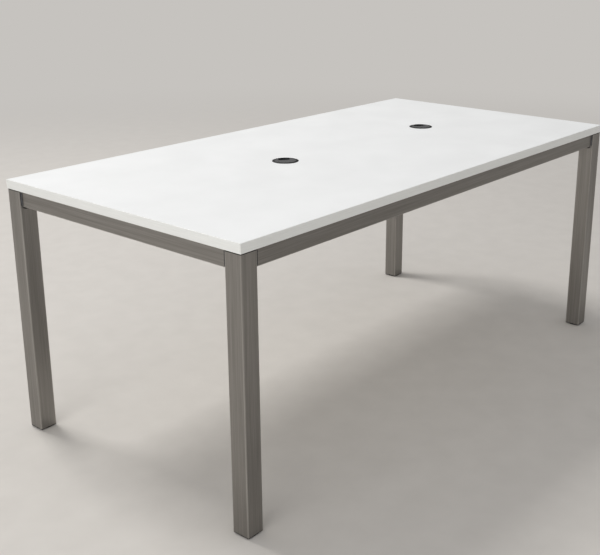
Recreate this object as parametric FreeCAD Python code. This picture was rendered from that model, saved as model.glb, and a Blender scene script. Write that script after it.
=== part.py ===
import FreeCAD, Part
import math
import os

Vector = FreeCAD.Vector

# Work table in millimetres, +Z up, origin on the floor below the middle of the top.
# The long sides run along X: front is -Y, back is +Y, left is -X, right is +X.

# Overall size
table_length = 1800.0
table_width = 900.0
table_height = 750.0

# Layers and edges of the top
top_thickness = 25.0
laminate_thickness = 0.8
balance_thickness = 0.8
band_thickness = 2.0
band_edge_radius = 1.0
band_corner_extra = 0.5

# Legs: square tubes just inside the edge of the top
leg_size = 52.0
leg_wall = 2.0
leg_corner_radius = 3.0
leg_inset = 2.0

# Moulded pieces pushed into the tubes
insert_clearance = 0.2
flange_inset = 0.3
skirt_wall = 2.0
cap_flange_thickness = 3.0
cap_skirt_depth = 6.0
plug_flange_thickness = 1.5
plug_depth = 18.0
plug_boss_wall = 1.5
plug_rib_thickness = 2.0

# Threaded insert of the foot
insert_wall = 1.6
insert_flange_lap = 1.9
insert_flange_thickness = 1.2
insert_length = 16.0
insert_pocket_clearance = 0.1

# Levelling glide: a moulded pad on a threaded stem
pad_radius = 23.5
pad_thickness = 3.5
pad_chamfer = 0.8
stem_radius = 4.0
stem_length = 36.0
stem_chamfer = 0.8
stem_socket_depth = 2.2
stem_thread_clearance = 0.05

# Rails: rectangular tubes a little behind the legs' outer faces
rail_height = 45.0
rail_thickness = 30.0
rail_setback = 6.0
rail_wall = 1.5
rail_corner_radius = 2.5

# Rail connectors: a flange against the leg, a spigot in the rail, a lip below it
connector_flange = 4.0
connector_overhang = 3.0
connector_corner_radius = 8.0
spigot_length = 32.0
spigot_clearance = 0.2
lip_width = 8.0
lip_length = 9.0
lip_height = 6.0
lip_offset = 6.0
lip_edge_radius = 1.5

# Bolts from inside the leg into the connectors
bolt_radius = 3.0
bolt_length = 25.0
bolt_head_radius = 5.2
bolt_head_height = 3.4
bolt_socket_width = 4.0
bolt_socket_depth = 2.0
bolt_washer_radius = 6.0
bolt_washer_thickness = 1.2
bolt_cap_gap = 1.0
bolt_edge_distance = 5.8
bolt_hole_clearance = 0.3
bolt_thread_clearance = 0.05
bolt_end_room = 2.0

# Screws that lock each rail on its spigot, on the inner side
lock_screw_radius = 2.5
lock_screw_length = 10.0
lock_head_radius = 4.6
lock_head_height = 2.6

# Tabs welded to the rails, and the screws through them into the board
tab_length = 40.0
tab_reach = 28.0
tab_thickness = 3.0
tab_corner_radius = 6.0
tab_hole_offset = 16.0
tab_end_distance = 160.0
tabs_on_long_rail = 3
tabs_on_end_rail = 2
top_screw_radius = 2.4
top_screw_cover = 8.0
top_screw_head_radius = 4.7
top_screw_head_height = 2.8
screw_hole_clearance = 0.3
screw_pilot_clearance = 0.1
screw_end_room = 0.5
screw_socket_width = 2.5
screw_socket_depth = 1.4

# Cable ports on the long middle of the top
port_spacing = 700.0
port_shift_x = 110.0
port_shift_y = 20.0
port_cutout_radius = 35.0
port_flange_lap = 4.5
port_flange_thickness = 2.0
port_flange_edge_height = 0.6
port_flange_edge_radius = 0.5
port_flange_level = 1.2
port_mouth_edge_radius = 0.5
liner_clearance = 0.4
liner_wall = 1.8
liner_depth = 22.0
ledge_width = 3.3
ledge_thickness = 1.6
port_cap_thickness = 3.0
port_cap_recess = 0.6
port_cap_clearance = 0.3
port_cap_edge_radius = 0.8
dish_border = 8.5
dish_depth = 0.8
cap_guide_depth = 8.0
cap_guide_wall = 1.6
lug_reach = 1.1
lug_width = 9.0
lug_height = 1.6
lug_gap = 0.4
lug_count = 3
first_lug_angle = 180.0
slot_width = 36.0
slot_depth = 24.0
slot_corner_radius = 5.0
slot_angle = 55.0

# Heights and places that follow from the sizes above
top_underside = table_height - top_thickness
leg_top = top_underside - cap_flange_thickness
leg_bottom = pad_thickness + plug_flange_thickness
leg_x = table_length / 2 - leg_inset - leg_size / 2
leg_y = table_width / 2 - leg_inset - leg_size / 2
leg_inside = leg_size - 2 * leg_wall
leg_inside_radius = leg_corner_radius - leg_wall
insert_size = leg_inside - 2 * insert_clearance
insert_corner_radius = leg_inside_radius - insert_clearance
flange_size = leg_size - 2 * flange_inset
flange_corner_radius = leg_corner_radius - flange_inset
rail_middle = top_underside - rail_height / 2
rail_shift = leg_size / 2 - rail_setback - rail_thickness / 2
connector_width = rail_thickness + 2 * connector_overhang
spigot_inset = rail_wall + spigot_clearance
upper_bolt = leg_top - cap_skirt_depth - bolt_cap_gap - bolt_washer_radius - rail_middle
lower_bolt = -rail_height / 2 + spigot_inset + bolt_edge_distance
bolt_heights = [lower_bolt, upper_bolt]
lock_screw_height = (lower_bolt + upper_bolt) / 2
lock_screw_x = connector_flange + spigot_length / 2
top_screw_length = tab_thickness + top_thickness - top_screw_cover
core_length = table_length - 2 * band_thickness
core_width = table_width - 2 * band_thickness
port_places = {
    "left": Vector(port_shift_x - port_spacing / 2, port_shift_y, 0),
    "right": Vector(port_shift_x + port_spacing / 2, port_shift_y, 0),
}
corners = {
    "front_left": (-1, -1),
    "front_right": (1, -1),
    "back_left": (-1, 1),
    "back_right": (1, 1),
}
cut_margin = 1.0
match_tolerance = 1e-6

pieces = {}


def add_piece(name, shape):
    pieces[name] = shape


def rounded_outline(width, depth, radius):
    # Face in the XY plane, centred on the origin, with round corners where the radius is above zero.
    x = width / 2
    y = depth / 2
    if radius <= 0:
        points = [Vector(-x, -y, 0), Vector(x, -y, 0), Vector(x, y, 0), Vector(-x, y, 0), Vector(-x, -y, 0)]
        return Part.Face(Part.makePolygon(points))
    arcs = []
    for side_x, side_y, start in [(1, -1, -90), (1, 1, 0), (-1, 1, 90), (-1, -1, 180)]:
        centre = Vector(side_x * (x - radius), side_y * (y - radius), 0)
        angles = [math.radians(start + turn) for turn in (0, 45, 90)]
        arcs.append([centre + Vector(math.cos(angle), math.sin(angle), 0) * radius for angle in angles])
    edges = []
    for index, (first, middle, last) in enumerate(arcs):
        edges.append(Part.Arc(first, middle, last).toShape())
        following = arcs[(index + 1) % len(arcs)][0]
        edges.append(Part.LineSegment(last, following).toShape())
    return Part.Face(Part.Wire(edges))


def rounded_bar(width, depth, height, radius):
    return rounded_outline(width, depth, radius).extrude(Vector(0, 0, height))


def square_tube(width, depth, wall, radius, height):
    outside = rounded_bar(width, depth, height, radius)
    inside = rounded_bar(width - 2 * wall, depth - 2 * wall, height, radius - wall)
    return outside.cut(inside)


def disc(radius, bottom, top):
    return Part.makeCylinder(radius, top - bottom, Vector(0, 0, bottom))


def ring(outer, inner, bottom, top):
    return disc(outer, bottom, top).cut(disc(inner, bottom, top))


def block(low, high):
    return Part.makeBox(high[0] - low[0], high[1] - low[1], high[2] - low[2], Vector(*low))


def moved(shape, place):
    copy = shape.copy()
    copy.translate(place)
    return copy


def turned(shape, axis, angle):
    copy = shape.copy()
    copy.rotate(Vector(0, 0, 0), axis, angle)
    return copy


def round_edges(shape, radius):
    # Circular edges of the given radius, for rounding a rim.
    return [edge for edge in shape.Edges if edge.Curve.TypeId == "Part::GeomCircle"
            and abs(edge.Curve.Radius - radius) < match_tolerance]


def rims_at(shape, radius, height):
    return [edge for edge in round_edges(shape, radius)
            if abs(edge.Curve.Center.z - height) < match_tolerance]


def socket_screw(shank_radius, length, head_radius, head_height, socket_width, socket_depth):
    # Screw along +Z: the seat of its head is at zero, and its socket opens downwards.
    head = disc(head_radius, -head_height, 0)
    head = head.makeFillet(head_height / 2, rims_at(head, head_radius, -head_height))
    key = Part.makePolygon([Vector(socket_width / math.sqrt(3) * math.cos(math.radians(60 * step)),
                                   socket_width / math.sqrt(3) * math.sin(math.radians(60 * step)),
                                   -head_height) for step in range(7)])
    head = head.cut(Part.Face(key).extrude(Vector(0, 0, socket_depth)))
    shank = disc(shank_radius, 0, length)
    shank = shank.makeChamfer(shank_radius / 4, rims_at(shank, shank_radius, length))
    return head.fuse(shank).removeSplitter()


def along_x(shape):
    # Turns +Z into +X, and the shape's X into -Z.
    return turned(shape, Vector(0, 1, 0), 90)


# Joints between legs and rails: each has its corner and the heading of its rail
def joint_places():
    for name, (side_x, side_y) in corners.items():
        yield name, "long", (side_x, side_y), (0 if side_x < 0 else 180)
        yield name, "end", (side_x, side_y), (90 if side_y < 0 else 270)


def place_at_joint(shape, corner, heading):
    # The joint's own frame: +X runs along the rail's middle from the leg's face.
    angle = math.radians(heading)
    face_x = corner[0] * (leg_x + rail_shift * abs(math.sin(angle))) + leg_size / 2 * math.cos(angle)
    face_y = corner[1] * (leg_y + rail_shift * abs(math.cos(angle))) + leg_size / 2 * math.sin(angle)
    return moved(turned(shape, Vector(0, 0, 1), heading), Vector(face_x, face_y, rail_middle))


def inner_side(corner, heading):
    # Which of the joint frame's Y directions points to the middle of the table.
    angle = math.radians(heading)
    return 1 if math.sin(angle) * corner[0] - math.cos(angle) * corner[1] > 0 else -1


def lock_bore(side, radius, depth):
    # Cylinder from just outside the rail's inner face into the spigot.
    bore = turned(disc(radius, -cut_margin, depth), Vector(1, 0, 0), 90 * side)
    return moved(bore, Vector(lock_screw_x, side * rail_thickness / 2, lock_screw_height))


# Top: one slab with rounded edges, divided into layers and edge bands
def make_top():
    corner_radius = band_edge_radius + band_corner_extra
    slab = rounded_bar(table_length, table_width, top_thickness, corner_radius)
    flat_edges = [edge for edge in slab.Edges if edge.BoundBox.ZLength < match_tolerance]
    slab = moved(slab.makeFillet(band_edge_radius, flat_edges), Vector(0, 0, top_underside))
    half_length = table_length / 2
    half_width = table_width / 2
    core_x = core_length / 2
    core_y = core_width / 2
    for name, low, high in [
        ("front", (-half_length, -half_width), (half_length, -core_y)),
        ("back", (-half_length, core_y), (half_length, half_width)),
        ("left", (-half_length, -core_y), (-core_x, core_y)),
        ("right", (core_x, -core_y), (half_length, core_y)),
    ]:
        zone = block((low[0], low[1], top_underside), (high[0], high[1], table_height))
        add_piece("edge_band_" + name, slab.common(zone))

    board_bottom = top_underside + balance_thickness
    board_top = table_height - laminate_thickness
    layers = {
        "balance_sheet": (top_underside, board_bottom),
        "top_board": (board_bottom, board_top),
        "top_laminate": (board_top, table_height),
    }
    cutouts = [moved(disc(port_cutout_radius, top_underside, table_height), place)
               for place in port_places.values()]
    pilot_depth = top_screw_length - tab_thickness + screw_end_room
    pilot_radius = top_screw_radius + screw_pilot_clearance
    pilots = [moved(disc(pilot_radius, 0, pilot_depth), place) for place in screw_places()]
    for name, (bottom, top) in layers.items():
        layer = block((-core_x, -core_y, bottom), (core_x, core_y, top))
        add_piece(name, layer.cut(Part.makeCompound(cutouts + pilots)))


def spread(count, reach):
    # Even places from -reach to +reach, or the middle for a single one.
    if count == 1:
        return [0.0]
    return [reach * (2 * index / (count - 1) - 1) for index in range(count)]


# Fixing tabs: places along each rail, with the heading from the rail to the middle of the table
def tab_places():
    inner_x = leg_x + rail_shift - rail_thickness / 2
    inner_y = leg_y + rail_shift - rail_thickness / 2
    end_room = leg_size / 2 + tab_end_distance
    for side in (-1, 1):
        for x in spread(tabs_on_long_rail, leg_x - end_room):
            yield Vector(x, side * inner_y, top_underside), -90 * side
        for y in spread(tabs_on_end_rail, leg_y - end_room):
            yield Vector(side * inner_x, y, top_underside), 90 + 90 * side


def screw_places():
    for place, heading in tab_places():
        angle = math.radians(heading)
        yield place + Vector(tab_hole_offset * math.cos(angle), tab_hole_offset * math.sin(angle), 0)


def make_tabs():
    # The tab's round corners are on its free end: the other half of the bar lies in the rail and is cut off.
    plate = rounded_bar(2 * tab_reach, tab_length, tab_thickness, tab_corner_radius)
    plate = plate.common(block((0, -tab_length, 0), (tab_reach, tab_length, tab_thickness)))
    hole = disc(top_screw_radius + screw_hole_clearance, 0, tab_thickness)
    plate = moved(plate.cut(moved(hole, Vector(tab_hole_offset, 0, 0))), Vector(0, 0, -tab_thickness))
    tabs = [moved(turned(plate, Vector(0, 0, 1), heading), place) for place, heading in tab_places()]
    add_piece("top_tabs", Part.makeCompound(tabs))
    screw = socket_screw(top_screw_radius, top_screw_length, top_screw_head_radius, top_screw_head_height,
                         screw_socket_width, screw_socket_depth)
    screw = moved(screw, Vector(0, 0, -tab_thickness))
    add_piece("top_screws", Part.makeCompound([moved(screw, place) for place in screw_places()]))


# Legs with their caps, foot plugs and glides
def make_legs():
    tube = square_tube(leg_size, leg_size, leg_wall, leg_corner_radius, leg_top - leg_bottom)
    tube = moved(tube, Vector(0, 0, leg_bottom))
    bolt_hole = along_x(disc(bolt_radius + bolt_hole_clearance, -leg_wall - cut_margin, cut_margin))
    for name, corner in corners.items():
        leg = moved(tube, Vector(corner[0] * leg_x, corner[1] * leg_y, 0))
        holes = [place_at_joint(moved(bolt_hole, Vector(0, 0, height)), corner, heading)
                 for joint, rail, corner_at, heading in joint_places() if joint == name
                 for height in bolt_heights]
        add_piece("leg_" + name, leg.cut(Part.makeCompound(holes)))


def make_leg_caps():
    flange = moved(rounded_bar(flange_size, flange_size, cap_flange_thickness, flange_corner_radius),
                   Vector(0, 0, leg_top))
    skirt = square_tube(insert_size, insert_size, skirt_wall, insert_corner_radius, cap_skirt_depth)
    cap = flange.fuse(moved(skirt, Vector(0, 0, leg_top - cap_skirt_depth))).removeSplitter()
    for name, corner in corners.items():
        add_piece("leg_cap_" + name, moved(cap, Vector(corner[0] * leg_x, corner[1] * leg_y, 0)))


def make_feet():
    plug_bottom = pad_thickness
    flange = moved(rounded_bar(flange_size, flange_size, plug_flange_thickness, flange_corner_radius),
                   Vector(0, 0, plug_bottom))
    skirt = square_tube(insert_size, insert_size, skirt_wall, insert_corner_radius, plug_depth)
    barrel_radius = stem_radius + stem_thread_clearance + insert_wall
    insert_flange_radius = barrel_radius + insert_flange_lap
    boss = disc(insert_flange_radius + plug_boss_wall, leg_bottom, leg_bottom + plug_depth)
    rib_reach = insert_size / 2 - skirt_wall / 2
    rib_half = plug_rib_thickness / 2
    rib = block((-rib_reach, -rib_half, leg_bottom), (rib_reach, rib_half, leg_bottom + plug_depth))
    ribs = rib.fuse(turned(rib, Vector(0, 0, 1), 90))
    plug = flange.fuse([moved(skirt, Vector(0, 0, leg_bottom)), boss, ribs]).removeSplitter()

    flange_top = plug_bottom + insert_flange_thickness
    insert_top = plug_bottom + insert_length
    pocket = disc(insert_flange_radius + insert_pocket_clearance, plug_bottom, flange_top)
    barrel_room = disc(barrel_radius + insert_pocket_clearance, plug_bottom, leg_bottom + plug_depth)
    plug = plug.cut(pocket.fuse(barrel_room))
    insert = disc(insert_flange_radius, plug_bottom, flange_top)
    insert = insert.fuse(disc(barrel_radius, plug_bottom, insert_top)).removeSplitter()
    insert = insert.cut(disc(stem_radius + stem_thread_clearance, plug_bottom, insert_top))

    stem_bottom = pad_thickness - stem_socket_depth
    pad = disc(pad_radius, 0, pad_thickness)
    pad = pad.makeChamfer(pad_chamfer, round_edges(pad, pad_radius))
    pad = pad.cut(disc(stem_radius + stem_thread_clearance, stem_bottom, pad_thickness))
    stem = disc(stem_radius, stem_bottom, stem_bottom + stem_length)
    stem = stem.makeChamfer(stem_chamfer, rims_at(stem, stem_radius, stem_bottom + stem_length))

    inserts = []
    for name, corner in corners.items():
        place = Vector(corner[0] * leg_x, corner[1] * leg_y, 0)
        add_piece("foot_plug_" + name, moved(plug, place))
        add_piece("glide_pad_" + name, moved(pad, place))
        add_piece("glide_stem_" + name, moved(stem, place))
        inserts.append(moved(insert, place))
    add_piece("foot_inserts", Part.makeCompound(inserts))


# Rails with their connectors, bolts and lock screws
def make_rails():
    screw_hole = lock_screw_radius + screw_hole_clearance
    for name, start, end, length in [
        ("front", ("front_left", 0), ("front_right", 180), 2 * leg_x),
        ("back", ("back_left", 0), ("back_right", 180), 2 * leg_x),
        ("left", ("front_left", 90), ("back_left", 270), 2 * leg_y),
        ("right", ("front_right", 90), ("back_right", 270), 2 * leg_y),
    ]:
        length = length - leg_size - 2 * connector_flange
        tube = square_tube(rail_height, rail_thickness, rail_wall, rail_corner_radius, length)
        tube = moved(along_x(tube), Vector(connector_flange, 0, 0))
        rail = place_at_joint(tube, corners[start[0]], start[1])
        for corner_name, heading in (start, end):
            corner = corners[corner_name]
            hole = lock_bore(inner_side(corner, heading), screw_hole, rail_wall + cut_margin)
            rail = rail.cut(place_at_joint(hole, corner, heading))
        add_piece("rail_" + name, rail)


def make_connectors():
    # The flange stands out past the rail's sides. Only its lower corners are round.
    rail_bottom = -rail_height / 2
    plate = rounded_bar(2 * rail_height, connector_width, connector_flange, connector_corner_radius)
    flange = moved(along_x(plate), Vector(0, 0, rail_height / 2))
    flange = flange.common(block((0, -connector_width / 2, rail_bottom),
                                 (connector_flange, connector_width / 2, rail_height / 2)))
    spigot = rounded_bar(rail_height - 2 * spigot_inset, rail_thickness - 2 * spigot_inset, spigot_length,
                         rail_corner_radius - spigot_inset)
    spigot = moved(along_x(spigot), Vector(connector_flange, 0, 0))
    lip_bottom = rail_bottom - lip_height
    lip = block((0, -lip_width / 2, lip_bottom), (lip_length, lip_width / 2, rail_bottom))
    lip = lip.makeFillet(lip_edge_radius, [edge for edge in lip.Edges if edge.BoundBox.XMax > match_tolerance
                                           and edge.BoundBox.ZMax < lip_bottom + match_tolerance])
    body = flange.fuse(spigot).removeSplitter()

    bolt = socket_screw(bolt_radius, bolt_length, bolt_head_radius, bolt_head_height,
                        bolt_socket_width, bolt_socket_depth)
    bolt = moved(along_x(bolt), Vector(-leg_wall - bolt_washer_thickness, 0, 0))
    washer = along_x(ring(bolt_washer_radius, bolt_radius + bolt_hole_clearance, 0, bolt_washer_thickness))
    washer = moved(washer, Vector(-leg_wall - bolt_washer_thickness, 0, 0))
    bolt_end = bolt_length - leg_wall - bolt_washer_thickness
    bolt_bore = along_x(disc(bolt_radius + bolt_thread_clearance, 0, bolt_end + bolt_end_room))
    body = body.cut([moved(bolt_bore, Vector(0, 0, height)) for height in bolt_heights])

    lock_screw = socket_screw(lock_screw_radius, lock_screw_length, lock_head_radius, lock_head_height,
                              screw_socket_width, screw_socket_depth)
    lock_depth = lock_screw_length + screw_end_room
    bolts = []
    washers = []
    lock_screws = []
    for name, rail, corner, heading in joint_places():
        side = inner_side(corner, heading)
        # The lip sits towards the table's outer side.
        connector = body.fuse(moved(lip, Vector(0, -side * lip_offset, 0))).removeSplitter()
        connector = connector.cut(lock_bore(side, lock_screw_radius + bolt_thread_clearance, lock_depth))
        add_piece("connector_%s_%s" % (name, rail), place_at_joint(connector, corner, heading))
        for height in bolt_heights:
            place = Vector(0, 0, height)
            bolts.append(place_at_joint(moved(bolt, place), corner, heading))
            washers.append(place_at_joint(moved(washer, place), corner, heading))
        screw = turned(lock_screw, Vector(1, 0, 0), 90 * side)
        screw = moved(screw, Vector(lock_screw_x, side * rail_thickness / 2, lock_screw_height))
        lock_screws.append(place_at_joint(screw, corner, heading))
    add_piece("rail_bolts", Part.makeCompound(bolts))
    add_piece("rail_bolt_washers", Part.makeCompound(washers))
    add_piece("rail_lock_screws", Part.makeCompound(lock_screws))


# Cable ports: a flanged liner in the top and a slotted cap that turns in it
def make_ports():
    liner_outer = port_cutout_radius - liner_clearance
    liner_inner = liner_outer - liner_wall
    ledge_inner = liner_inner - ledge_width
    flange_top = table_height + port_flange_thickness
    liner_bottom = table_height - liner_depth
    cap_top = flange_top - port_cap_recess
    ledge_top = cap_top - port_cap_thickness
    ledge_bottom = ledge_top - ledge_thickness

    # The flange falls away from a narrow level ring round its mouth to a thin outer edge.
    flange_radius = port_cutout_radius + port_flange_lap
    edge_top = table_height + port_flange_edge_height
    slope = Part.makeCone(flange_radius, liner_inner + port_flange_level, flange_top - edge_top,
                          Vector(0, 0, edge_top))
    liner = disc(flange_radius, table_height, edge_top).fuse(slope).removeSplitter()
    liner = liner.makeFillet(port_flange_edge_radius, rims_at(liner, flange_radius, edge_top))
    liner = liner.fuse(disc(liner_outer, liner_bottom, table_height)).removeSplitter()
    liner = liner.cut([disc(liner_inner, ledge_top, flange_top), disc(ledge_inner, ledge_bottom, ledge_top),
                       disc(liner_inner, liner_bottom, ledge_bottom)])
    liner = liner.makeFillet(port_mouth_edge_radius, rims_at(liner, liner_inner, flange_top))

    cap_radius = liner_inner - port_cap_clearance
    guide_outer = ledge_inner - port_cap_clearance
    cap = disc(cap_radius, ledge_top, cap_top)
    cap = cap.makeFillet(port_cap_edge_radius, rims_at(cap, cap_radius, cap_top))
    dish_radius = cap_radius - dish_border
    dish_sphere = (dish_radius ** 2 + dish_depth ** 2) / (2 * dish_depth)
    cap = cap.cut(Part.makeSphere(dish_sphere, Vector(0, 0, cap_top + dish_sphere - dish_depth)))
    guide = ring(guide_outer, guide_outer - cap_guide_wall, ledge_top - cap_guide_depth, ledge_top)
    lug_top = ledge_bottom - lug_gap
    lug_ring = ring(guide_outer + lug_reach, guide_outer - cap_guide_wall / 2, lug_top - lug_height, lug_top)
    lug_zone = block((0, -lug_width / 2, lug_top - lug_height), (port_cutout_radius, lug_width / 2, lug_top))
    lug = lug_ring.common(lug_zone)
    lugs = [turned(lug, Vector(0, 0, 1), first_lug_angle + 360.0 / lug_count * index)
            for index in range(lug_count)]
    cap = cap.fuse([guide] + lugs).removeSplitter()

    # The slot runs from its inner end out past the cap's rim.
    slot_inner = cap_radius - slot_depth
    slot_length = slot_depth + 2 * slot_corner_radius
    slot = rounded_bar(slot_length, slot_width, port_cap_thickness + cap_guide_depth, slot_corner_radius)
    slot = moved(slot, Vector(slot_inner + slot_length / 2, 0, ledge_top - cap_guide_depth))
    cap = turned(cap.cut(slot), Vector(0, 0, 1), slot_angle)

    for name, place in port_places.items():
        add_piece("port_liner_" + name, moved(liner, place))
        add_piece("port_cap_" + name, moved(cap, place))


make_top()
make_tabs()
make_legs()
make_leg_caps()
make_feet()
make_rails()
make_connectors()
make_ports()

os.makedirs("parts", exist_ok=True)
for name, shape in pieces.items():
    shape.exportStep("parts/%s.step" % name)
    print(name, len(shape.Solids), "solids", round(shape.Volume), "mm3", "valid", shape.isValid())
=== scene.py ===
import math
import bmesh
import bpy
from mathutils import Matrix, Vector


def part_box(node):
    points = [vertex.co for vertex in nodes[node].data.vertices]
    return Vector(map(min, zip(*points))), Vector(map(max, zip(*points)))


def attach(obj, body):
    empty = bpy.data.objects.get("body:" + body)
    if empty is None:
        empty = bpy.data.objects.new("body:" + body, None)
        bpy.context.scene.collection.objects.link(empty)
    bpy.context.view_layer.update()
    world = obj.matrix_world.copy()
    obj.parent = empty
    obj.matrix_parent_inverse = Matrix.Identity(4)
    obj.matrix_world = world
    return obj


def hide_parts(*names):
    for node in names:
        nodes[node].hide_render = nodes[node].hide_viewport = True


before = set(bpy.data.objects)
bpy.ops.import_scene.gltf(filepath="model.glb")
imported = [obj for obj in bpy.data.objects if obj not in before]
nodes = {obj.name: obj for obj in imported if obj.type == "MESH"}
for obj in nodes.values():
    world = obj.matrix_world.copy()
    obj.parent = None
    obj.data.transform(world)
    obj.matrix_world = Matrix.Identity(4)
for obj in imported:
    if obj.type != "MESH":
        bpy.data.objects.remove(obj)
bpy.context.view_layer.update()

scene = bpy.context.scene
scene.view_settings.view_transform = "Standard"
mm = 0.001
noiseSpan = (0.3, 0.7)  # where most values of a noise pattern lie


def linearColour(hexCode):
    # The linear colour of an sRGB hex code.
    parts = [int(hexCode[i:i + 2], 16) / 255 for i in (1, 3, 5)]
    return [c / 12.92 if c <= 0.04045 else ((c + 0.055) / 1.055) ** 2.4 for c in parts] + [1.0]


def perMetre(*sizes):
    # Pattern scale from its real sizes in millimetres.
    return [1 / (size * mm) for size in sizes]


def addNode(tree, kind, inputs=None, ramp=None, **settings):
    # Each input is a socket to link or a constant to set.
    node = tree.nodes.new(kind)
    for key, value in settings.items():
        setattr(node, key, value)
    for key, value in (inputs or {}).items():
        if isinstance(value, bpy.types.NodeSocket):
            tree.links.new(value, node.inputs[key])
        else:
            node.inputs[key].default_value = value
    if ramp:
        stops = node.color_ramp.elements
        while len(stops) < len(ramp):
            stops.new(1.0)
        for stop, (place, hexCode) in zip(stops, ramp):
            stop.position = place
            stop.color = linearColour(hexCode)
    return node


def addMath(tree, operation, *terms):
    return addNode(tree, "ShaderNodeMath", dict(enumerate(terms)), operation=operation).outputs[0]


def addVectorMath(tree, operation, *terms):
    node = addNode(tree, "ShaderNodeVectorMath", dict(enumerate(terms)), operation=operation)
    return node.outputs["Value" if operation in ("LENGTH", "DOT_PRODUCT") else "Vector"]


def splitAxes(tree, vector):
    return addNode(tree, "ShaderNodeSeparateXYZ", {0: vector}).outputs


def addMix(tree, share, first, second, colour=False):
    if colour:
        return addNode(tree, "ShaderNodeMix", {0: share, 6: first, 7: second}, data_type="RGBA").outputs[2]
    return addNode(tree, "ShaderNodeMix", {0: share, 2: first, 3: second}, data_type="FLOAT").outputs[0]


def addRange(tree, value, span, levels=(0, 1), **settings):
    # Values across the span become values across the levels.
    inputs = {"Value": value, "From Min": span[0], "From Max": span[1],
              "To Min": levels[0], "To Max": levels[1]}
    return addNode(tree, "ShaderNodeMapRange", inputs, **settings).outputs["Result"]


def addTone(tree, value, tones):
    return addNode(tree, "ShaderNodeValToRGB", {"Fac": value}, ramp=tones).outputs["Color"]


def addBump(tree, height, strength, depth):
    return addNode(tree, "ShaderNodeBump", {"Height": height, "Strength": strength,
                                            "Distance": depth * mm}).outputs["Normal"]


def stretch(tree, place, sizes, turn=0.0):
    # Coordinates in which a pattern of size one has these sizes in millimetres, turned by degrees about Z.
    return addNode(tree, "ShaderNodeMapping", {"Vector": place, "Scale": perMetre(*sizes),
                                               "Rotation": (0, 0, math.radians(turn))}).outputs["Vector"]


def addNoise(tree, place, size, detail=2, roughness=0.5, turn=0.0):
    # Cloudy pattern with one size in millimetres, or with one for each axis.
    scale = 1.0
    if isinstance(size, tuple):
        place = stretch(tree, place, size, turn)
    else:
        scale = perMetre(size)[0]
    return addNode(tree, "ShaderNodeTexNoise", {"Vector": place, "Scale": scale, "Detail": detail,
                                                "Roughness": roughness}).outputs["Fac"]


def startMaterial(name, **shaderValues):
    # A bare material with one shader whose constants sit on its own sockets.
    material = bpy.data.materials.new(name)
    material.use_nodes = True
    tree = material.node_tree
    tree.nodes.clear()
    values = {key.replace("_", " "): value for key, value in shaderValues.items()}
    shader = addNode(tree, "ShaderNodeBsdfPrincipled", values)
    addNode(tree, "ShaderNodeOutputMaterial", {"Surface": shader.outputs[0]})
    place = addNode(tree, "ShaderNodeTexCoord").outputs["Object"]
    return material, tree, shader, place


def feed(tree, shader, **sockets):
    for key, socket in sockets.items():
        tree.links.new(socket, shader.inputs[key.replace("_", " ")])


# Camera, fitted to the photograph's corners, legs and ports
cameraSettings = {
    "place": (-2.3264, -1.8952, 1.3974),
    "heading": -50.621,  # degrees about Z
    "down": 17.233,
    "roll": 0.201,
    "focalPixels": 976.27,
    "imageSize": (600, 555),
    "axisPixel": (338, 235),  # where the lens axis meets the picture
    "sensor": 36.0,
}


def makeCamera(settings):
    width, height = settings["imageSize"]
    data = bpy.data.cameras.new("photoCamera")
    data.sensor_width = settings["sensor"]
    data.lens = settings["focalPixels"] / width * settings["sensor"]
    data.shift_x = (width / 2 - settings["axisPixel"][0]) / width
    data.shift_y = (settings["axisPixel"][1] - height / 2) / width
    camera = bpy.data.objects.new("photoCamera", data)
    scene.collection.objects.link(camera)
    camera.matrix_world = (Matrix.Translation(settings["place"])
                           @ Matrix.Rotation(math.radians(settings["heading"]), 4, "Z")
                           @ Matrix.Rotation(math.radians(90 - settings["down"]), 4, "X")
                           @ Matrix.Rotation(math.radians(settings["roll"]), 4, "Z"))
    scene.camera = camera


makeCamera(cameraSettings)
print("camera set")

# Floor, backdrop and lamps: a pale floor that runs out into a backdrop of the same tone
stageSettings = {
    "floorTones": [(0.3, "#cdc8c1"), (0.7, "#d1ccc5")],
    "rolled": 90.0,  # mm across the paint roller's patches
    "backdropColour": "#c6c3bf",
    "floorRadius": 9.0,
    "floorSides": 128,
    "fade": (2.6, 6.5),  # metres from the table's middle over which the floor becomes the backdrop
    "ambient": 0.55,
    "ambientColour": "#fbfcff",
    "brightSide": (-0.62, 0.62, -0.48),  # the lit end of the studio, low down, as metal sees it
    "brightSpan": (-0.6, 0.8),  # from the dark end to the lit end
    "mirrorLevels": (0.28, 1.25),
}
lampSettings = {
    "backSoftbox": {"towards": (-0.08, 0.56, 0.83), "distance": 7.0, "size": (2.1, 2.1), "watts": 260,
                    "colour": "#fefefe"},
    "sideSoftbox": {"towards": (-0.92, -0.22, 0.32), "distance": 5.0, "size": (3.2, 2.2), "watts": 62,
                    "colour": "#fdfeff"},
}
lampAim = Vector((0, 0, 0.6))  # below the middle of the top


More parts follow.
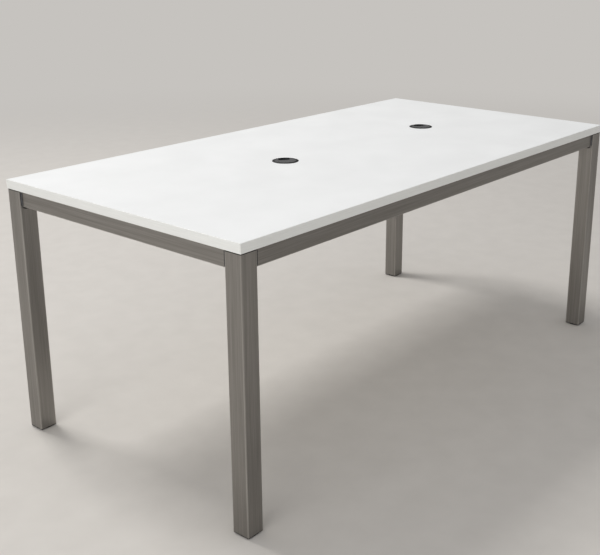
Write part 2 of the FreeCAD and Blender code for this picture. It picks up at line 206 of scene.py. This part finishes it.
def makeStage(settings):
    floorMesh = bpy.data.meshes.new("floor")
    form = bmesh.new()
    bmesh.ops.create_circle(form, cap_ends=True, segments=settings["floorSides"],
                            radius=settings["floorRadius"])
    form.to_mesh(floorMesh)
    form.free()
    floor = bpy.data.objects.new("floor", floorMesh)
    scene.collection.objects.link(floor)

    # Emulsion floor paint, rolled: matt, with faint overlapping patches
    material, tree, shader, place = startMaterial("floorPaintRolled", Roughness=0.8, IOR=1.45)
    patch = addNoise(tree, place, settings["rolled"], detail=3)
    feed(tree, shader, Base_Color=addTone(tree, patch, settings["floorTones"]))
    away = addVectorMath(tree, "LENGTH", place)
    fade = addRange(tree, away, settings["fade"], interpolation_type="SMOOTHSTEP")
    backdropColour = linearColour(settings["backdropColour"])
    backdrop = addNode(tree, "ShaderNodeEmission", {"Color": backdropColour})
    mixed = addNode(tree, "ShaderNodeMixShader", {0: fade, 1: shader.outputs[0], 2: backdrop.outputs[0]})
    output = next(node for node in tree.nodes if node.type == "OUTPUT_MATERIAL")
    tree.links.new(mixed.outputs[0], output.inputs["Surface"])
    floorMesh.materials.append(material)

    # World: even light, a plain backdrop for the camera, and for metal one that is brighter on the lit side
    world = bpy.data.worlds.new("studio")
    scene.world = world
    world.use_nodes = True
    tree = world.node_tree
    tree.nodes.clear()
    light = addNode(tree, "ShaderNodeBackground", {"Color": linearColour(settings["ambientColour"]),
                                                   "Strength": settings["ambient"]})
    seen = addNode(tree, "ShaderNodeBackground", {"Color": backdropColour})
    direction = addNode(tree, "ShaderNodeTexCoord").outputs["Generated"]
    lit = addVectorMath(tree, "DOT_PRODUCT", direction, settings["brightSide"])
    level = addRange(tree, lit, settings["brightSpan"], settings["mirrorLevels"],
                     interpolation_type="SMOOTHSTEP")
    mirrored = addNode(tree, "ShaderNodeBackground", {"Color": backdropColour, "Strength": level})
    rays = addNode(tree, "ShaderNodeLightPath").outputs
    glossy = addMath(tree, "MAXIMUM", rays["Is Glossy Ray"], rays["Is Transmission Ray"])
    mixed = addNode(tree, "ShaderNodeMixShader", {0: glossy, 1: light.outputs[0], 2: mirrored.outputs[0]})
    mixed = addNode(tree, "ShaderNodeMixShader", {0: rays["Is Camera Ray"], 1: mixed.outputs[0],
                                                  2: seen.outputs[0]})
    addNode(tree, "ShaderNodeOutputWorld", {"Surface": mixed.outputs[0]})


def makeLamps(lamps, aim):
    for name, settings in lamps.items():
        data = bpy.data.lights.new(name, "AREA")
        data.shape = "RECTANGLE"
        data.size, data.size_y = settings["size"]
        data.energy = settings["watts"]
        data.color = linearColour(settings["colour"])[:3]
        lamp = bpy.data.objects.new(name, data)
        scene.collection.objects.link(lamp)
        towards = Vector(settings["towards"]).normalized()
        lamp.location = aim + towards * settings["distance"]
        lamp.rotation_euler = towards.to_track_quat("Z", "Y").to_euler()
        lamp.visible_camera = False


makeStage(stageSettings)
makeLamps(lampSettings, lampAim)
print("stage and lamps set")

# White melamine laminate, pressed against a pearl plate: soft sheen, faint dimples, hardly any colour
# of its own
laminateSettings = {
    "tones": [(0.35, "#efefed"), (0.65, "#f2f2f0")],
    "roughness": (0.44, 0.54),
    "sheen": 0.25,  # the pearl surface scatters most of what a flat sheet would mirror
    "dimple": 2.4,  # mm; the pressed dimples are about 0.5, drawn coarser so that they show
    "dimpleBump": (0.06, 0.3),  # strength, and depth in mm
    "patch": 150.0,  # mm across a wiped patch
    "hairline": (260.0, 1.6, 40.0),  # mm; wiping scratches are under 0.1, drawn coarser so that they show
    "hairlineTurn": 14.0,  # degrees between the wiping and the table's length
    "hairlineShare": 0.35,
}


def makeLaminate(settings):
    material, tree, shader, place = startMaterial("whiteMelaminePressed", IOR=1.5,
                                                  Specular_IOR_Level=settings["sheen"])
    patch = addNoise(tree, place, settings["patch"], detail=4, roughness=0.55)
    hairline = addNoise(tree, place, settings["hairline"], turn=settings["hairlineTurn"])
    wiped = addMix(tree, settings["hairlineShare"], patch, hairline)
    dimple = addNoise(tree, place, settings["dimple"])
    feed(tree, shader, Base_Color=addTone(tree, patch, settings["tones"]),
         Roughness=addRange(tree, wiped, noiseSpan, settings["roughness"]),
         Normal=addBump(tree, dimple, *settings["dimpleBump"]))
    return material


# White ABS edge band, extruded, glued on and scraped round: fine lines along it, glossier at its scraped
# edges, and a thin glue line where it meets the laminate and its neighbour
bandSettings = {
    "tones": [(0.3, "#e9e9e4"), (0.7, "#f1f1ed")],
    "glue": "#c4c2b8",
    "glueWidth": 0.35,  # mm; a glue line is about 0.1, drawn wider so that it shows
    "glueStrength": 0.8,
    "roughness": (0.40, 0.52),
    "scraped": 0.14,  # how much smoother the scraped edges are
    "scrapedDepth": (1.5, 0.8),  # mm in from the top and the bottom, where the scraping begins and is full
    "line": (70.0, 70.0, 1.2),  # mm; drawn lines are about 0.3 apart, drawn coarser so that they show
    "lineBump": (0.08, 0.2),  # strength, and depth in mm
}


def makeBand(settings):
    material, tree, shader, place = startMaterial("whiteAbsBandExtruded", IOR=1.53)
    line = addNoise(tree, place, settings["line"], detail=3)
    tone = addTone(tree, line, settings["tones"])

    # Distance from the inner faces of the bands, where the glue is
    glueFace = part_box("top_board")[1]
    apart = addVectorMath(tree, "SUBTRACT", addVectorMath(tree, "ABSOLUTE", place), glueFace)
    apart = splitAxes(tree, addVectorMath(tree, "ABSOLUTE", apart))
    nearest = addMath(tree, "MINIMUM", apart["X"], apart["Y"])
    glue = addRange(tree, nearest, (settings["glueWidth"] * mm, 0), (0, settings["glueStrength"]))
    tone = addMix(tree, glue, tone, linearColour(settings["glue"]), colour=True)

    # The scraped edges are the top and bottom millimetre
    low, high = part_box("edge_band_front")
    middle = addMath(tree, "SUBTRACT", splitAxes(tree, place)["Z"], (low.z + high.z) / 2)
    half = (high.z - low.z) / 2
    scraped = addRange(tree, addMath(tree, "ABSOLUTE", middle),
                       [half - depth * mm for depth in settings["scrapedDepth"]], (0, settings["scraped"]))
    gloss = addRange(tree, line, (0, 1), settings["roughness"])
    feed(tree, shader, Base_Color=tone, Roughness=addMath(tree, "SUBTRACT", gloss, scraped),
         Normal=addBump(tree, line, *settings["lineBump"]))
    return material


# Particle board, pressed from wood chips and sawn: dry, mottled chips in three browns
boardSettings = {
    "tones": [(0.0, "#8d6a41"), (0.45, "#b8935f"), (1.0, "#d9bd8d")],
    "chip": (5.0, 5.0, 1.6),  # mm, flat-lying chips
    "chipBump": (0.5, 0.4),  # strength, and depth in mm
}


def makeBoard(settings):
    material, tree, shader, place = startMaterial("particleBoardPressed", IOR=1.5, Roughness=0.9)
    chips = addNode(tree, "ShaderNodeTexVoronoi", {"Vector": stretch(tree, place, settings["chip"]),
                                                   "Scale": 1.0, "Randomness": 1.0}).outputs
    feed(tree, shader, Base_Color=addTone(tree, chips["Color"], settings["tones"]),
         Normal=addBump(tree, chips["Distance"], *settings["chipBump"]))
    return material


# Melamine backing sheet, pressed matt: off-white paper with a faint fibre cloud
backingSettings = {
    "tones": [(0.35, "#e0dfda"), (0.65, "#ebeae6")],
    "fibre": (26.0, 5.0, 5.0),  # mm
    "grain": 1.8,  # mm; the matt grain is about 0.3, drawn coarser so that it shows
    "grainBump": (0.1, 0.2),  # strength, and depth in mm
}


def makeBacking(settings):
    material, tree, shader, place = startMaterial("whiteBackingPressed", IOR=1.5, Roughness=0.62)
    fibre = addNoise(tree, place, settings["fibre"], detail=5, roughness=0.6)
    grain = addNoise(tree, place, settings["grain"])
    feed(tree, shader, Base_Color=addTone(tree, fibre, settings["tones"]),
         Normal=addBump(tree, grain, *settings["grainBump"]))
    return material


# Stainless steel tube, brushed along its length: long fine streaks, a wide soft sheen across them, and
# corners that the belt and passing hands have polished smoother, with a painted highlight lightening their
# colour
steelSettings = {
    "tones": [(0.3, "#817e7a"), (0.5, "#918e8a"), (0.7, "#9f9c98"), (1.0, "#b6b4b0")],
    "roughness": (0.36, 0.46),
    "glossSpan": (0.25, 0.75),
    "anisotropy": 0.5,
    "streak": (2.4, 190.0),  # mm across and along; real ones are under 0.1, drawn coarser so that they show
    "streakBump": (0.06, 0.1),  # strength, and depth in mm
    "band": (11.0, 700.0),  # mm, the slower shading from the belt
    "bandShare": 0.4,
    "smudge": 60.0,
    "smudgeShare": 0.35,
    "paintedCornerHighlight": 0.24,  # painted highlight: how far a corner's colour moves up the tones
    "polishGloss": 0.06,
    "cornerReach": (-0.5, 0.3),  # corner radii past the flat face, where the painted highlight and the smoother polish begin and are full
}
steelCorners = {"leg": 3.0, "rail": 2.5, "tab": 1.0}  # mm, outer radii


def makeSteel(name, axis, sample, cornerRadius, settings):
    material, tree, shader, place = startMaterial(name, Metallic=1.0, Anisotropic=settings["anisotropy"])
    along = "XYZ".index(axis)
    across = [i for i in range(3) if i != along]
    layers = []
    for width, length in (settings["streak"], settings["band"]):
        sizes = tuple(length if i == along else width for i in range(3))
        layers.append(addNoise(tree, place, sizes, detail=3, roughness=0.6))
    streaks = addMix(tree, settings["bandShare"], *layers)

    # How far a point lies round a corner of the tube: the table is folded over, so one sample tube serves all
    low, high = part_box(sample)
    middle = [abs(low[i] + high[i]) / 2 if i in across else 0 for i in range(3)]
    flat = [(high[i] - low[i]) / 2 - cornerRadius * mm for i in range(3)]
    offset = addVectorMath(tree, "SUBTRACT", addVectorMath(tree, "ABSOLUTE", place), middle)
    past = addVectorMath(tree, "SUBTRACT", addVectorMath(tree, "ABSOLUTE", offset), flat)
    past = splitAxes(tree, past)
    corner = addRange(tree, addMath(tree, "MINIMUM", *(past[i] for i in across)),
                      [share * cornerRadius * mm for share in settings["cornerReach"]],
                      interpolation_type="SMOOTHSTEP")

    # Painted highlight: the corners' colour moves up the tones
    paintedHighlightTone = addMath(tree, "MULTIPLY_ADD", corner, settings["paintedCornerHighlight"], streaks)
    smudge = addNoise(tree, place, settings["smudge"], detail=3)
    worn = addMix(tree, settings["smudgeShare"], streaks, smudge)
    gloss = addRange(tree, worn, settings["glossSpan"], settings["roughness"])
    around = addNode(tree, "ShaderNodeTangent", direction_type="RADIAL", axis=axis)
    feed(tree, shader, Base_Color=addTone(tree, paintedHighlightTone, settings["tones"]),
         Roughness=addMath(tree, "MULTIPLY_ADD", corner, -settings["polishGloss"], gloss),
         Normal=addBump(tree, layers[0], *settings["streakBump"]), Tangent=around.outputs["Tangent"])
    return material


# Zinc-plated steel, barrel plated: cool grey with soft cloudy patches
zincSettings = {
    "tones": [(0.3, "#a5a8ab"), (0.55, "#b9bcbe"), (0.8, "#c6c6c0")],
    "roughness": (0.28, 0.46),
    "cloud": 4.0,  # mm
    "detail": 4,
    "cloudBump": (0.08, 0.1),  # strength, and depth in mm
}

# Stainless weld metal, left as laid and wire brushed: straw and blue heat tints between dull grey ripples
weldMetalSettings = {
    "tones": [(0.3, "#6d6a68"), (0.5, "#8a8378"), (0.65, "#93866c"), (0.8, "#74788a")],
    "roughness": (0.34, 0.52),
    "cloud": 3.5,  # mm across a heat tint
    "detail": 3,
}


def makeCloudedMetal(name, settings):
    material, tree, shader, place = startMaterial(name, Metallic=1.0)
    cloud = addNoise(tree, place, settings["cloud"], settings["detail"])
    feed(tree, shader, Base_Color=addTone(tree, cloud, settings["tones"]),
         Roughness=addRange(tree, cloud, noiseSpan, settings["roughness"]))
    if "cloudBump" in settings:
        feed(tree, shader, Normal=addBump(tree, cloud, *settings["cloudBump"]))
    return material


# Dark mouldings: matt black nylon from a spark-eroded tool for the tube ends, nylon greyed by its glass fibre
# where it holds the rails, with painted shade on its rims and lip, and ABS for the cable ports, matt with a
# blacker tone as painted shade in the liners and smoother with a greyer tone as a painted sheen in the caps.
# Their grain, in mm, is really about 0.3 and drawn coarser so that it shows
mouldingSettings = {
    "blackNylon": {"tones": [(0.3, "#121213"), (0.7, "#1a1a1b")], "roughness": (0.6, 0.74), "sheen": 0.25,
                   "grain": 1.0, "ior": 1.53},
    # The filled nylon's rim and lip colours are painted shade
    "filledNylon": {"tones": [(0.3, "#67676a"), (0.7, "#757578")], "roughness": (0.5, 0.64), "sheen": 0.5,
                    "grain": 1.2, "ior": 1.53, "rim": "#2a2a2c", "lip": "#0c0c0d"},
    # Painted shade and sheen: the liners' blacker tone darkens their rims, the caps' greyer tone stands in
    # for a lit sheen
    "blackAbs": {"tones": [(0.3, "#101011"), (0.7, "#151516")], "roughness": (0.62, 0.74), "sheen": 0.5,
                 "grain": 0.8, "ior": 1.52},
    "charcoalAbs": {"tones": [(0.3, "#404143"), (0.7, "#4d4e50")], "roughness": (0.24, 0.34), "sheen": 0.5,
                    "grain": 0.8, "ior": 1.52},
}
mouldingFlow = 18.0  # mm across a flow mark
mouldingBump = (0.15, 0.15)  # strength, and depth in mm


def makeMoulding(name, settings, axis=None):
    material, tree, shader, place = startMaterial(name, IOR=settings["ior"],
                                                  Specular_IOR_Level=settings["sheen"])
    grain = addNoise(tree, place, settings["grain"])
    flow = addNoise(tree, place, mouldingFlow, detail=3)
    tone = addTone(tree, flow, settings["tones"])
    if axis:
        # Painted shade: the faces that don't look along the rail take the dark rim colour, and the lip below
        # the rail is painted black
        normal = addNode(tree, "ShaderNodeTexCoord").outputs["Normal"]
        facing = addMath(tree, "ABSOLUTE", splitAxes(tree, normal)[axis])
        tone = addMix(tree, facing, linearColour(settings["rim"]), tone, colour=True)
        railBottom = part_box("rail_front")[0].z
        paintedLipMask = addMath(tree, "LESS_THAN", splitAxes(tree, place)["Z"], railBottom)
        tone = addMix(tree, paintedLipMask, tone, linearColour(settings["lip"]), colour=True)
    feed(tree, shader, Base_Color=tone, Roughness=addRange(tree, flow, noiseSpan, settings["roughness"]),
         Normal=addBump(tree, grain, *mouldingBump))
    return material


zinc = makeCloudedMetal("zincPlatedSteel", zincSettings)
weldMetal = makeCloudedMetal("stainlessWeldBrushed", weldMetalSettings)
nylon = makeMoulding("blackNylonMoulded", mouldingSettings["blackNylon"])
longNylon = makeMoulding("filledNylonMouldedLengthwise", mouldingSettings["filledNylon"], "X")
endNylon = makeMoulding("filledNylonMouldedCrosswise", mouldingSettings["filledNylon"], "Y")
legSteel = makeSteel("stainlessBrushedUpright", "Z", "leg_back_right", steelCorners["leg"], steelSettings)
longSteel = makeSteel("stainlessBrushedLengthwise", "X", "rail_back", steelCorners["rail"], steelSettings)
endSteel = makeSteel("stainlessBrushedCrosswise", "Y", "rail_right", steelCorners["rail"], steelSettings)
tabSteel = makeSteel("stainlessSheetBrushed", "X", "top_tabs", steelCorners["tab"], steelSettings)

# Which finish each node takes: the first line whose start and end fit its name
finishes = [
    ("top_laminate", "", makeLaminate(laminateSettings)),
    ("edge_band", "", makeBand(bandSettings)),
    ("top_board", "", makeBoard(boardSettings)),
    ("balance_sheet", "", makeBacking(backingSettings)),
    ("leg_cap", "", nylon),
    ("foot_plug", "", nylon),
    ("glide_pad", "", nylon),
    ("connector", "_long", longNylon),
    ("connector", "_end", endNylon),
    ("port_liner", "", makeMoulding("blackAbsMoulded", mouldingSettings["blackAbs"])),
    ("port_cap", "", makeMoulding("charcoalAbsMoulded", mouldingSettings["charcoalAbs"])),
    ("rail_bolt", "", zinc),
    ("rail_lock", "", zinc),
    ("foot_inserts", "", zinc),
    ("glide_stem", "", zinc),
    ("top_screws", "", zinc),
    ("top_tabs", "", tabSteel),
    ("leg_", "", legSteel),
    ("rail_front", "", longSteel),
    ("rail_back", "", longSteel),
    ("rail_", "", endSteel),
]
for name, node in nodes.items():
    finish = next(material for start, end, material in finishes
                  if name.startswith(start) and name.endswith(end))
    if not node.material_slots:
        node.data.materials.append(finish)
    for place in node.material_slots:
        place.material = finish
print("finishes set on", len(nodes), "nodes")


def newPiece(name, form, material, body):
    mesh = bpy.data.meshes.new(name)
    bmesh.ops.recalc_face_normals(form, faces=form.faces)
    form.to_mesh(mesh)
    form.free()
    mesh.materials.append(material)
    piece = bpy.data.objects.new(name, mesh)
    scene.collection.objects.link(piece)
    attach(piece, body)
    return piece


# Rolled thread of a levelling stem, in place of the plain rod
threadSettings = {
    "pitch": 1.25,  # mm, the coarse thread of an 8 mm stem
    "depth": 0.66,
    "crest": 0.14,  # flat shares of the pitch
    "root": 0.22,
    "rowsPerTurn": 8,
    "sides": 32,
    "chamfer": 0.8,
}


def makeThread(corner, settings):
    nodeName = "glide_stem_" + corner
    low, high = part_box(nodeName)
    middle = (low + high) / 2
    radius = (high.x - low.x) / 2
    pitch = settings["pitch"] * mm
    rows = round((high.z - low.z) / pitch * settings["rowsPerTurn"])
    sides = settings["sides"]
    flank = 1 - settings["crest"] - settings["root"]
    form = bmesh.new()
    rings = []
    for row in range(rows + 1):
        z = low.z + (high.z - low.z) * row / rows
        bevel = max(0, settings["chamfer"] * mm - (high.z - z))
        ring = []
        for side in range(sides):
            turn = side / sides
            phase = (z / pitch - turn) % 1
            fall = min(max((abs(phase - 0.5) * 2 - settings["crest"]) / flank, 0), 1)
            reach = min(radius - settings["depth"] * mm * fall, radius - bevel)
            angle = 2 * math.pi * turn
            ring.append(form.verts.new((middle.x + reach * math.cos(angle),
                                        middle.y + reach * math.sin(angle), z)))
        rings.append(ring)
    for lower, upper in zip(rings, rings[1:]):
        for side in range(sides):
            after = (side + 1) % sides
            form.faces.new((lower[side], lower[after], upper[after], upper[side])).smooth = True
    form.faces.new(rings[0])
    form.faces.new(rings[-1])
    piece = newPiece("glide_thread_" + corner, form, zinc, "foot_" + corner)
    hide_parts(nodeName)


for corner in ("front_left", "front_right", "back_left", "back_right"):
    makeThread(corner, threadSettings)
print("threads made")

# Fillet welds under the fixing tabs, along the rails' inner faces
weldSettings = {
    "rails": [("rail_front", 1, 1), ("rail_back", 1, -1), ("rail_left", 0, 1), ("rail_right", 0, -1)],
    "leg": 3.2,  # mm along the rail's face and along the tab
    "length": 33.0,
    "ripple": 2.0,  # mm from one ripple to the next
    "lead": 0.45,  # how far a ripple's middle is ahead of its ends, in ripples
    "rise": 0.11,
    "steps": 8,  # stations in each ripple
    "arc": 10,
    "hollow": 0.24,  # how flat the bead is between its two toes
    "blunt": 0.12,  # how much of the bead is left at its very ends
    "sameVertex": 0.01,  # mm within which the corners of two faces are one
    "sameFace": 0.2,  # mm within which a tab's end lies on a rail
}


def tabBoxes(sameVertex):
    # Boxes of the separate tabs, which are one node.
    form = bmesh.new()
    form.from_mesh(nodes["top_tabs"].data)
    bmesh.ops.remove_doubles(form, verts=form.verts, dist=sameVertex * mm)
    left = set(form.verts)
    boxes = []
    while left:
        group = [left.pop()]
        for vert in group:
            near = [edge.other_vert(vert) for edge in vert.link_edges]
            fresh = [other for other in near if other in left]
            left.difference_update(fresh)
            group.extend(fresh)
        boxes.append([[pick(vert.co[i] for vert in group) for i in range(3)] for pick in (min, max)])
    form.free()
    return sorted(boxes)


def addBead(form, start, along, inward, settings):
    # One bead from start, in the corner below the tab. Its ripples lie like scales and fade at both toes.
    count = round(settings["length"] / settings["ripple"]) * settings["steps"]
    down = Vector((0, 0, -1))
    rings = []
    for step in range(count + 1):
        share = step / count
        end = min(min(share, 1 - share) * settings["length"] / settings["leg"], 1)
        taper = max(math.sqrt(1 - (1 - end) ** 2), settings["blunt"])
        centre = start + along * (settings["length"] * mm * share)
        ring = [form.verts.new(centre)]
        for i in range(settings["arc"] + 1):
            angle = math.pi / 2 * i / settings["arc"]
            bulge = math.sin(2 * angle)
            ripple = abs(math.sin(math.pi * (step / settings["steps"] - settings["lead"] * bulge)))
            swell = 1 + bulge * (settings["rise"] * ripple - settings["hollow"])
            reach = settings["leg"] * mm * taper * swell
            ring.append(form.verts.new(centre + inward * (reach * math.cos(angle))
                                       + down * (reach * math.sin(angle))))
        rings.append(ring)
    for first, second in zip(rings, rings[1:]):
        for i in range(len(first)):
            after = (i + 1) % len(first)
            face = form.faces.new((first[i], first[after], second[after], second[i]))
            face.smooth = 0 < i < len(first) - 1
    form.faces.new(rings[0])
    form.faces.new(rings[-1])


def makeWelds(settings):
    # Each rail comes with the axis across it and the way to the table's middle along that axis.
    form = bmesh.new()
    boxes = tabBoxes(settings["sameVertex"])
    count = 0
    for rail, axis, side in settings["rails"]:
        face = 1 if side > 0 else 0
        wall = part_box(rail)[face][axis]
        along = Vector((axis, 1 - axis, 0))
        inward = Vector((1 - axis, axis, 0)) * side
        for box in boxes:
            if abs(box[1 - face][axis] - wall) > settings["sameFace"] * mm:
                continue
            start = Vector([(box[0][i] + box[1][i]) / 2 for i in range(3)])
            start[axis] = wall
            start.z = box[0][2]
            addBead(form, start - along * (settings["length"] * mm / 2), along, inward, settings)
            count += 1
    newPiece("tab_welds", form, weldMetal, "table")
    print("welds made under", count, "tabs")


makeWelds(weldSettings)
